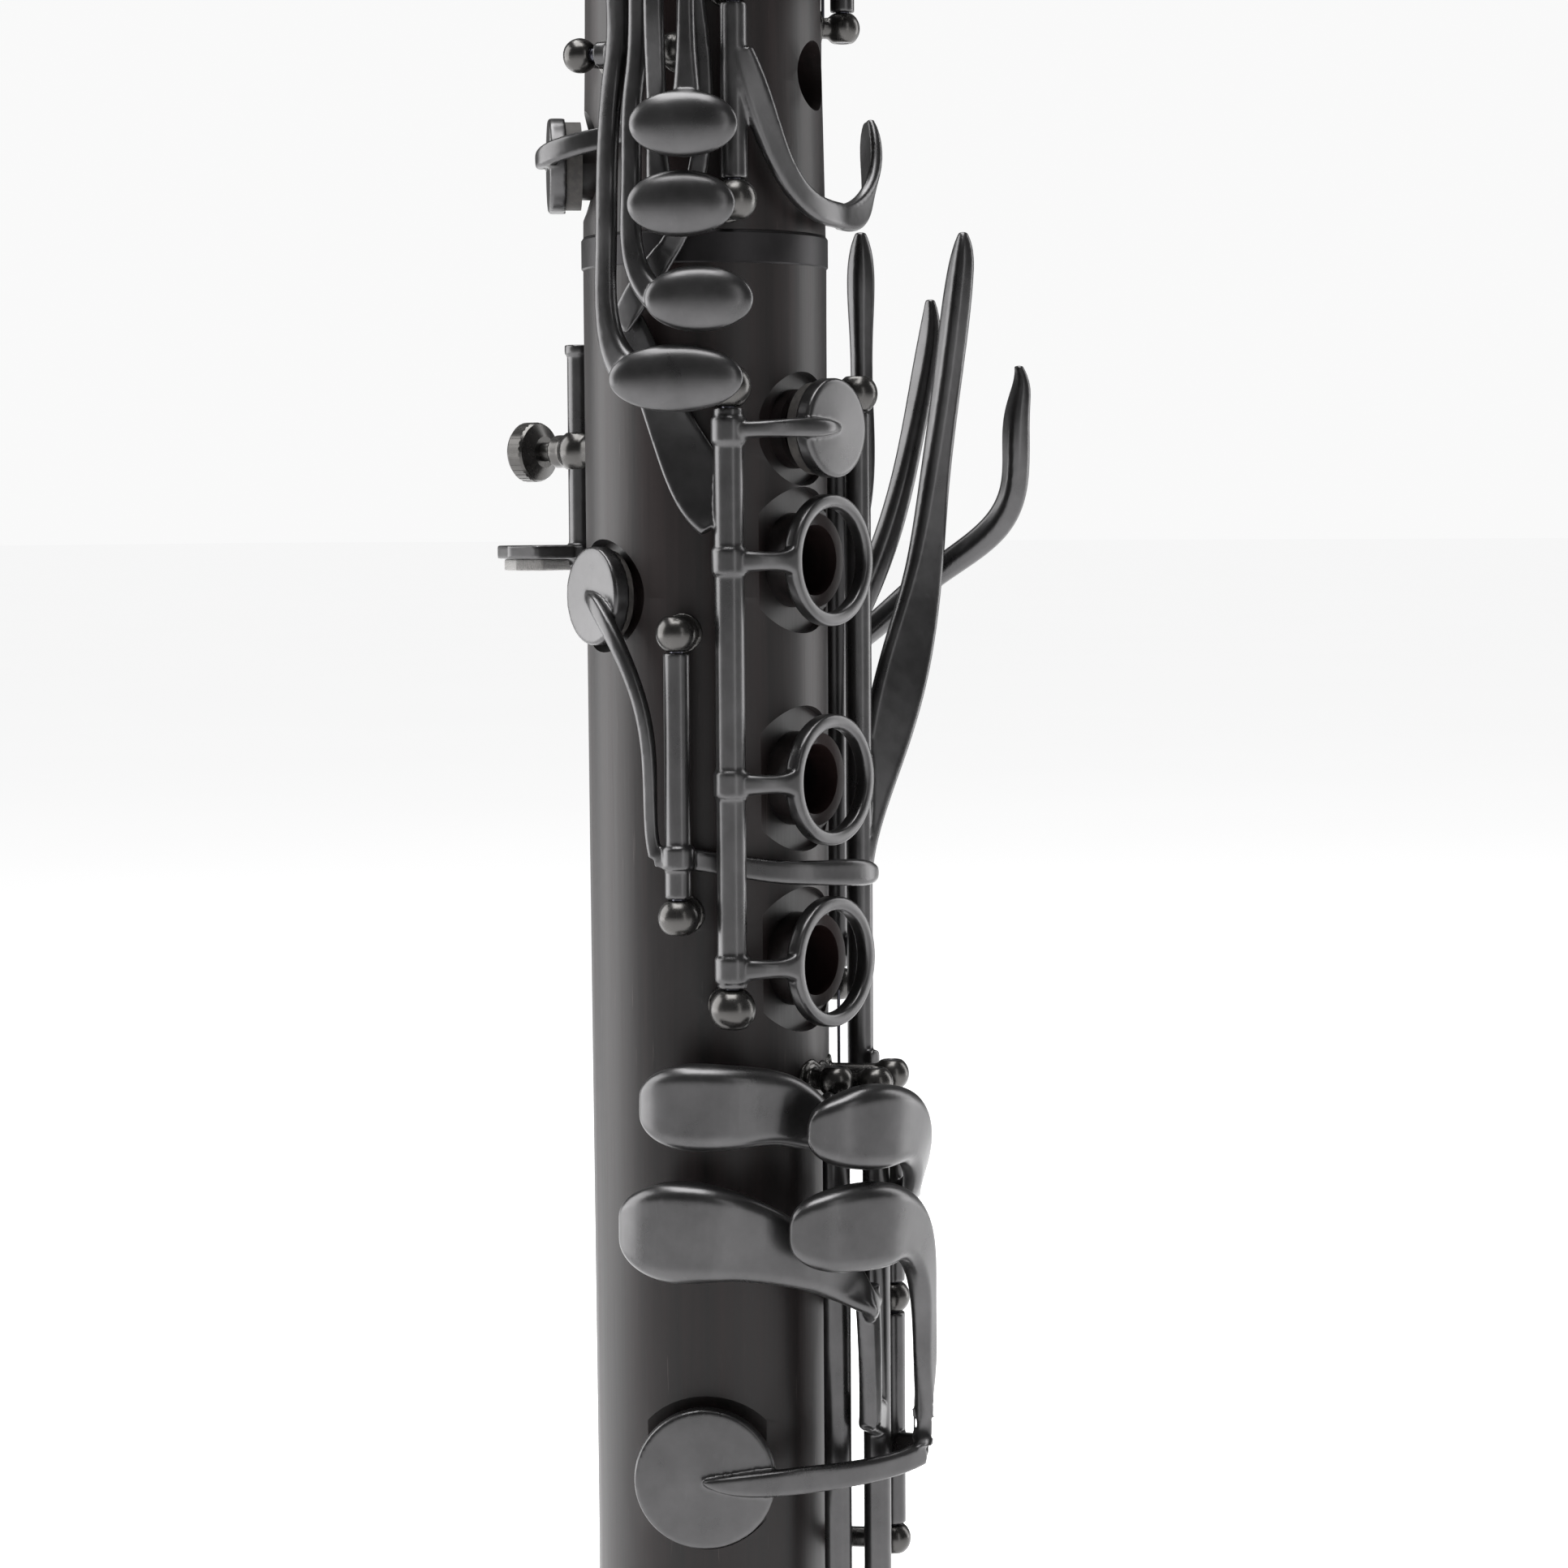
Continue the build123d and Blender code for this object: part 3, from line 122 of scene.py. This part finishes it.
def grenadilla():
    n = Nodes("grenadilla")
    streaks = n.noise((420, 420, 9), 6.0, 0.6, 0.4)
    broad = n.noise((60, 60, 3), 2.0)
    pores = n.noise((2600, 2600, 95), 3.0, 0.5)
    dark = n.mix(n.remap(streaks, 0.35, 0.68, 0.0, 1.0), (0.0045, 0.0036, 0.0037), (0.0115, 0.0075, 0.0075))
    warm = n.mix(n.remap(broad, 0.5, 0.72, 0.0, 0.5), dark, (0.022, 0.0065, 0.006))
    scratch = n.remap(pores, 0.70, 0.78, 0.0, 0.55)
    n.set(Base_Color=n.mix(scratch, warm, (0.06, 0.048, 0.046)))
    n.set(Roughness=n.remap(streaks, 0.3, 0.7, 0.38, 0.48))
    n.shader.inputs["Specular IOR Level"].default_value = 0.26
    n.shader.inputs["Coat Weight"].default_value = 0.08
    n.shader.inputs["Coat Roughness"].default_value = 0.3
    height = n.math("ADD", n.math("MULTIPLY", pores, 0.7), n.math("MULTIPLY", streaks, 0.35))
    n.bump(height, 0.16, 0.0001)
    return n.material


def plating(name, colour, rough, grain=0.12):
    """Satin plating over forged metal: fine shot grain and faint handling wear."""
    n = Nodes(name)
    fine = n.noise(7200, 2.0, 0.6)
    cloudy = n.noise(160, 4.0, 0.6)
    smear = n.noise((900, 900, 260), 5.0, 0.65, 0.6)
    lighter = tuple(min(1.0, c * 1.35) for c in colour)
    tone = n.mix(n.remap(cloudy, 0.35, 0.7, 0.0, 1.0), colour, lighter)
    n.set(Base_Color=n.mix(n.remap(smear, 0.62, 0.8, 0.0, 0.35), tone, tuple(c * 1.8 for c in colour)))
    n.shader.inputs["Metallic"].default_value = 0.92
    n.set(Roughness=n.math("ADD", n.remap(cloudy, 0.3, 0.7, rough - 0.03, rough + 0.04),
                           n.remap(smear, 0.55, 0.8, 0.0, 0.06)))
    n.bump(fine, grain, 0.00003)
    return n.material


def pad_skin():
    n = Nodes("pad_skin")
    folds = n.noise(900, 5.0, 0.65)
    n.set(Base_Color=n.mix(n.remap(folds, 0.35, 0.65, 0.0, 1.0), (0.02, 0.018, 0.017), (0.055, 0.05, 0.046)))
    n.set(Roughness=n.remap(folds, 0.3, 0.7, 0.55, 0.75))
    n.bump(folds, 0.4, 0.0001)
    return n.material


def cork():
    n = Nodes("cork")
    grains = n.tree.nodes.new("ShaderNodeTexVoronoi")
    grains.inputs["Scale"].default_value = 1500.0
    n.link(n.coord, grains.inputs["Vector"])
    cell = n.remap(grains.outputs["Distance"], 0.0, 0.7, 0.0, 1.0)
    cloudy = n.noise(700, 5.0, 0.7)
    tone = n.mix(cell, (0.36, 0.25, 0.15), (0.62, 0.48, 0.32))
    n.set(Base_Color=n.mix(n.remap(cloudy, 0.55, 0.75, 0.0, 0.8), tone, (0.2, 0.13, 0.08)))
    n.set(Roughness=n.remap(cloudy, 0.3, 0.7, 0.8, 0.95))
    n.bump(n.math("ADD", cell, cloudy), 0.5, 0.0002)
    return n.material


def felt(name, colour):
    n = Nodes(name)
    hairs = n.noise((5200, 5200, 1400), 6.0, 0.75, 1.2)
    n.set(Base_Color=n.mix(n.remap(hairs, 0.35, 0.65, 0.0, 1.0), tuple(c * 0.55 for c in colour), colour))
    n.set(Roughness=n.remap(hairs, 0.3, 0.7, 0.88, 1.0))
    n.shader.inputs["Sheen Weight"].default_value = 0.5
    n.bump(hairs, 0.8, 0.0002)
    return n.material


def ebonite():
    n = Nodes("ebonite")
    swirl = n.noise((90, 90, 30), 4.0, 0.6, 1.0)
    fine = n.noise((1500, 1500, 300), 3.0)
    n.set(Base_Color=n.mix(n.remap(swirl, 0.4, 0.7, 0.0, 1.0), (0.006, 0.006, 0.0065), (0.014, 0.013, 0.012)))
    n.set(Roughness=n.remap(fine, 0.3, 0.7, 0.14, 0.24))
    n.bump(fine, 0.05, 0.00005)
    return n.material


def cane():
    n = Nodes("cane")
    fibres = n.noise((3200, 3200, 40), 5.0, 0.6)
    patches = n.noise((120, 120, 25), 3.0)
    tone = n.mix(n.remap(fibres, 0.35, 0.65, 0.0, 1.0), (0.48, 0.34, 0.13), (0.72, 0.58, 0.3))
    n.set(Base_Color=n.mix(n.remap(patches, 0.5, 0.75, 0.0, 0.5), tone, (0.56, 0.36, 0.13)))
    n.set(Roughness=n.remap(fibres, 0.3, 0.7, 0.42, 0.6))
    n.bump(fibres, 0.3, 0.0001)
    return n.material


WOOD = grenadilla()
PLATE = plating("black_plating", (0.066, 0.065, 0.066), 0.29)
POLISHED = plating("polished_plating", (0.062, 0.06, 0.058), 0.26, 0.06)
RING = plating("ring_plating", (0.022, 0.021, 0.022), 0.42)
STEEL = plating("blued_steel", (0.07, 0.07, 0.085), 0.28, 0.08)
PAD = pad_skin()
CORK = cork()
EBONITE = ebonite()
CANE = cane()
GREY_FELT = felt("grey_felt", (0.32, 0.31, 0.3))
BY_SLOT = {
    "grenadilla": WOOD, "black_plating": PLATE, "blued_steel": STEEL, "pad_skin": PAD, "cork": CORK,
    "ebonite": EBONITE, "cane": CANE,
}
SLOT_OF = {s["node"]: s["material_slot"] for s in frame["record"]["subparts"]}
BODY_OF = {n: b for b, ns in frame["record"]["behaviour"]["bodies"].items() for n in ns}


def paint(obj, material):
    obj.data.materials.clear()
    obj.data.materials.append(material)


# ------------------------------------------------------------ softly forged metal
def forged(node, voxel, passes, material):
    """Stands for a CAD node: the same shape with its edges and junctions rounded as forging leaves them."""
    mesh = frame["nodes"][node].data.copy()
    work = bmesh.new()
    work.from_mesh(mesh)
    bmesh.ops.remove_doubles(work, verts=work.verts, dist=WELD)
    work.to_mesh(mesh)
    work.free()
    obj = bpy.data.objects.new(node + "_forged", mesh)
    bpy.context.collection.objects.link(obj)
    remesh = obj.modifiers.new("remesh", "REMESH")
    remesh.mode = "VOXEL"
    remesh.voxel_size = voxel
    smooth = obj.modifiers.new("smooth", "SMOOTH")
    smooth.factor = 0.5
    smooth.iterations = passes
    bpy.context.view_layer.update()
    made = bpy.data.meshes.new_from_object(obj.evaluated_get(bpy.context.evaluated_depsgraph_get()))
    obj.modifiers.clear()
    obj.data = made
    for polygon in made.polygons:
        polygon.use_smooth = True
    paint(obj, material)
    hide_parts(node)
    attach(obj, BODY_OF[node])


WELD = 1e-6
VOXEL = 0.00022
KEY_PASSES, PLATE_PASSES, POST_PASSES, FELT_PASSES = 5, 4, 2, 6
KEYS = [n for n in frame["nodes"] if n.endswith("_key") or n.startswith("left_hand_")]

for node, obj in frame["nodes"].items():
    paint(obj, BY_SLOT[SLOT_OF[node]])
for node in KEYS:
    forged(node, VOXEL, KEY_PASSES, PLATE)
forged("thumb_rest_plate", VOXEL, PLATE_PASSES, PLATE)
for node in ("lower_posts", "upper_posts"):
    forged(node, VOXEL, POST_PASSES, POLISHED)
forged("thumb_rest_cork", VOXEL, FELT_PASSES, GREY_FELT)
paint(frame["nodes"]["lower_top_ring"], RING)
paint(frame["nodes"]["thumb_rest_screw"], POLISHED)
paint(frame["nodes"]["ligature_screw"], POLISHED)


# ------------------------------------------------------------ camera
# The camera looks a little down at AIM_HEIGHT on the instrument, from AZIMUTH round from the front towards
# the player's right.  U points to the camera's right, W from the instrument to the camera.
AZIMUTH = math.radians(53)
U = Vector((math.cos(AZIMUTH), -math.sin(AZIMUTH), 0))
W = Vector((-math.sin(AZIMUTH), -math.cos(AZIMUTH), 0))
PITCH, ROLL, DISTANCE = math.radians(4.0), math.radians(-0.38), 0.460
AIM_SIDE, AIM_HEIGHT = 0.00935, 0.2765
LENS, SENSOR, CLIP = 84.8, 36.0, 0.01
aim = U * AIM_SIDE + Vector((0, 0, AIM_HEIGHT))
forward = -W * math.cos(PITCH) - Vector((0, 0, math.sin(PITCH)))
level_up = -W * math.sin(PITCH) + Vector((0, 0, math.cos(PITCH)))
right = U * math.cos(ROLL) + level_up * math.sin(ROLL)
up = -U * math.sin(ROLL) + level_up * math.cos(ROLL)
camera = bpy.data.objects.new("camera", bpy.data.cameras.new("camera"))
bpy.context.collection.objects.link(camera)
place = Matrix((right, up, -forward)).transposed().to_4x4()
place.translation = aim - forward * DISTANCE
camera.matrix_world = place
camera.data.lens = LENS
camera.data.sensor_width = SENSOR
camera.data.clip_start = CLIP
bpy.context.scene.camera = camera


# ------------------------------------------------------------ floor and light
LIT_HEIGHT = 0.28  # the lights aim at this height on the instrument
FLOOR_REACH = 60.0
FLOOR_GLOW = 0.82  # how far the floor is lit by itself, like a sheet of lit opal
SKY_LIGHT, SKY_SEEN = 0.12, 0.95  # strength of the white surroundings as a light, and as a backdrop


def softbox(name, offset, size, power):
    """Area light at an offset (along U, along W, up) from the instrument, aimed at it."""
    light = bpy.data.lights.new(name, "AREA")
    light.shape = "RECTANGLE"
    light.size, light.size_y = size
    light.energy = power
    obj = bpy.data.objects.new(name, light)
    bpy.context.collection.objects.link(obj)
    obj.location = U * offset[0] + W * offset[1] + Vector((0, 0, offset[2]))
    target = Vector((0, 0, LIT_HEIGHT))
    obj.visible_camera = False
    obj.rotation_mode = "QUATERNION"
    obj.rotation_quaternion = (target - obj.location).to_track_quat("-Z", "Y")


def pale_floor():
    mesh = bpy.data.meshes.new("floor")
    work = bmesh.new()
    bmesh.ops.create_grid(work, x_segments=1, y_segments=1, size=FLOOR_REACH)
    work.to_mesh(mesh)
    work.free()
    floor = bpy.data.objects.new("floor", mesh)
    bpy.context.collection.objects.link(floor)
    n = Nodes("pale_floor")
    cloudy = n.noise(1.5, 3.0)
    n.set(Base_Color=n.mix(n.remap(cloudy, 0.3, 0.7, 0.0, 1.0), (0.86, 0.86, 0.865), (0.9, 0.9, 0.905)))
    n.set(Roughness=n.remap(cloudy, 0.3, 0.7, 0.8, 0.9))
    n.shader.inputs["Specular IOR Level"].default_value = 0.1
    n.shader.inputs["Emission Color"].default_value = (1.0, 1.0, 1.0, 1)
    n.shader.inputs["Emission Strength"].default_value = FLOOR_GLOW
    paint(floor, n.material)


def white_surroundings():
    """White backdrop that lights the instrument only faintly, as a dim room round a lit backdrop does."""
    world = bpy.data.worlds.new("studio")
    bpy.context.scene.world = world
    world.use_nodes = True
    background = world.node_tree.nodes["Background"]
    background.inputs["Color"].default_value = (1.0, 1.0, 1.0, 1)
    rays = world.node_tree.nodes.new("ShaderNodeLightPath")
    level = world.node_tree.nodes.new("ShaderNodeMapRange")
    level.inputs["To Min"].default_value = SKY_LIGHT
    level.inputs["To Max"].default_value = SKY_SEEN
    world.node_tree.links.new(rays.outputs["Is Camera Ray"], level.inputs["Value"])
    world.node_tree.links.new(level.outputs["Result"], background.inputs["Strength"])


pale_floor()
white_surroundings()
bpy.context.scene.view_settings.view_transform = "Standard"
softbox("back_left", (-1.25, -0.25, 0.45), (1.1, 1.8), 30)
softbox("back_right", (1.3, -0.6, 0.45), (0.5, 1.8), 12)
softbox("top", (-0.1, 0.0, 1.5), (1.3, 0.9), 32)
softbox("front_right", (0.9, 1.2, 0.5), (0.25, 1.4), 2.5)
